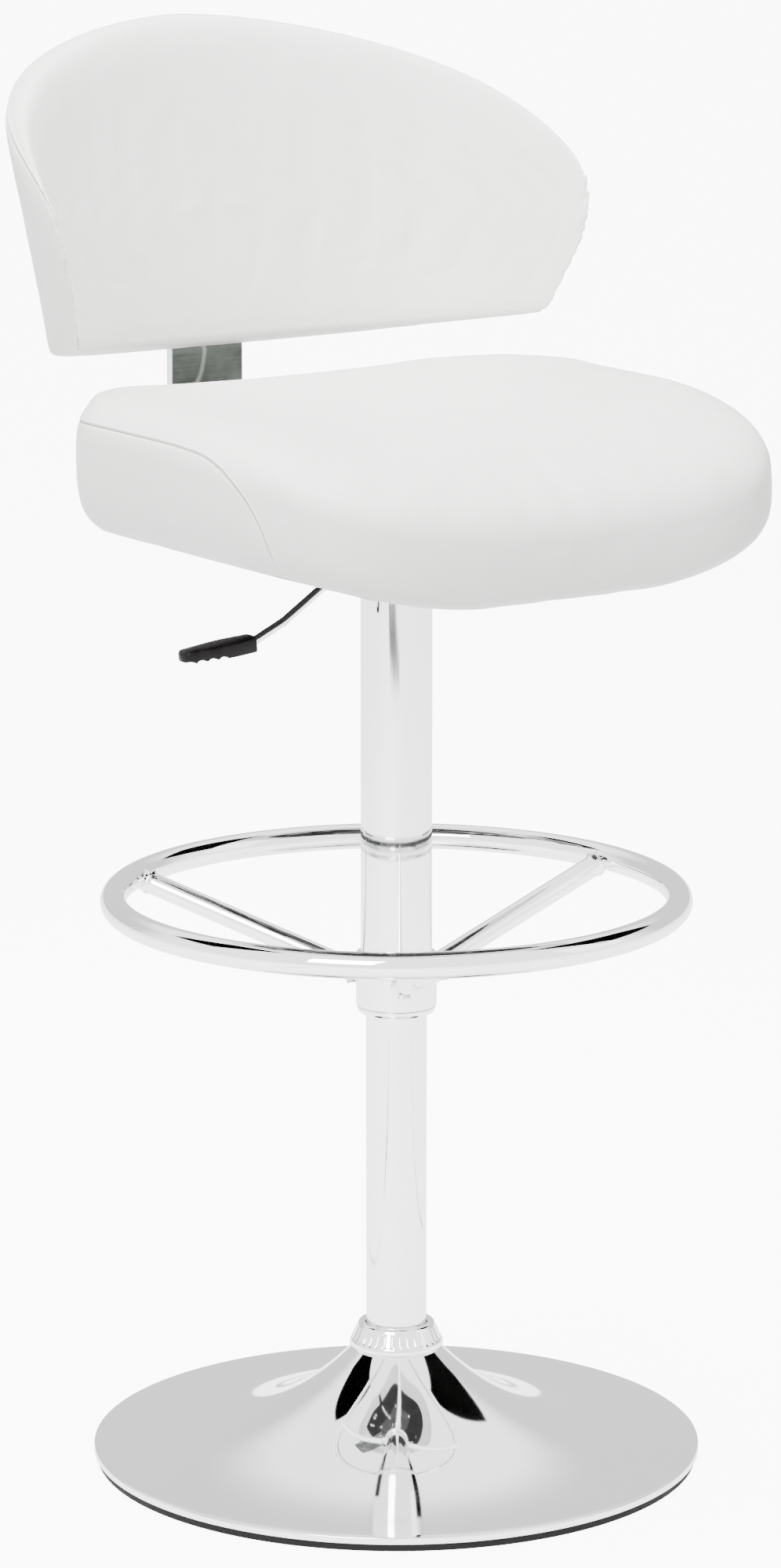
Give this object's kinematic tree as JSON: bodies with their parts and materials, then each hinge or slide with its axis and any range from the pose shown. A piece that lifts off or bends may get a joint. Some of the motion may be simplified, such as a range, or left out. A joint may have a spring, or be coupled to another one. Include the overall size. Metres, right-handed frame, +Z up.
{
  "type": "adjustable swivel stool",
  "caption": "Bar-height swivel stool with a trumpet base, telescopic column with gas lift, ring footrest, side lever and padded half-moon seat and wrap-round back on a flat bar",
  "frame": {"origin": "on the floor, on the column's axis", "axes": "+Z up along the column; the sitter faces -Y; +X is to the sitter's left; seat raised to the top of its travel"},
  "size_m": [0.5318, 0.6213, 1.2041],
  "materials": {
    "chrome": "polished chrome plate on steel tube and pressed steel",
    "rubber": "matt black floor rubber",
    "cast_iron": "plain ballast plate, hidden",
    "zinc_steel": "zinc plated steel",
    "black_steel": "black painted steel",
    "black_nylon": "black moulded nylon",
    "black_plastic": "black moulded plastic, slightly satin",
    "brushed_steel": "dull brushed flat bar",
    "plywood": "moulded plywood, hidden",
    "black_cloth": "thin black non-woven dust cloth",
    "white_leatherette": "soft white leatherette with fine creases"
  },
  "bodies": {
    "base": {"floor_pad": "rubber", "ballast_plate": "cast_iron", "base_shell": "chrome", "column_flange": "zinc_steel", "lower_tube": "chrome", "tube_floor": "zinc_steel", "base_collar": "chrome", "top_guide": "black_nylon", "bearing_lower_race": "zinc_steel", "bearing_ball_1": "zinc_steel", "bearing_ball_2": "zinc_steel", "bearing_ball_3": "zinc_steel", "bearing_ball_4": "zinc_steel", "bearing_ball_5": "zinc_steel", "bearing_ball_6": "zinc_steel", "flange_screw_1": "zinc_steel", "flange_screw_2": "zinc_steel", "flange_screw_3": "zinc_steel", "flange_screw_4": "zinc_steel"},
    "swivel": {"bearing_upper_race": "zinc_steel", "piston_rod": "zinc_steel", "rod_clip": "zinc_steel", "piston": "black_nylon"},
    "lift": {"back_bar": "brushed_steel", "back_board": "plywood", "back_cushion": "white_leatherette", "back_rear_pad": "white_leatherette", "back_screw_1": "zinc_steel", "back_screw_2": "zinc_steel", "bar_screw_1": "zinc_steel", "bar_screw_2": "zinc_steel", "bar_screw_3": "zinc_steel", "bar_screw_4": "zinc_steel", "footrest_hub": "chrome", "footrest_ring": "chrome", "footrest_spoke_1": "chrome", "footrest_spoke_2": "chrome", "footrest_spoke_3": "chrome", "gas_cylinder": "black_steel", "hub_end_cap": "chrome", "lever_pivot": "zinc_steel", "mechanism_channel": "black_steel", "seat_board": "plywood", "seat_cushion": "white_leatherette", "seat_dust_cover": "black_cloth", "seat_plate": "black_steel", "seat_screw_1": "zinc_steel", "seat_screw_2": "zinc_steel", "seat_screw_3": "zinc_steel", "seat_screw_4": "zinc_steel", "sleeve_bush": "black_nylon", "sleeve_tube": "chrome", "taper_socket": "zinc_steel"},
    "lever": {"lever_rod": "chrome", "lever_grip": "black_plastic"},
    "valve": {"valve_pin": "zinc_steel"}
  },
  "joints": [
    {"name": "swivel_turn", "type": "hinge", "parent": "base", "child": "swivel", "pos_m": [0, 0, 0], "axis": [0, 0, 1], "continuous": true},
    {"name": "seat_lift", "type": "slide", "parent": "swivel", "child": "lift", "axis": [0, 0, 1], "range_m": [-0.21, 0]},
    {"name": "lever_tilt", "type": "hinge", "parent": "lift", "child": "lever", "pos_m": [-0.03, 0, 0.7625], "axis": [0, 1, 0], "range_deg": [0, 6], "stiffness_Nm_per_rad": 8, "springref_deg": -2.86},
    {"name": "valve_push", "type": "slide", "parent": "lift", "child": "valve", "axis": [0, 0, 1], "range_m": [-0.0033, 0]}
  ],
  "couplings": [
    {"joint": "valve_push", "follows": "lever_tilt", "m_per_rad": -0.0306}
  ]
}
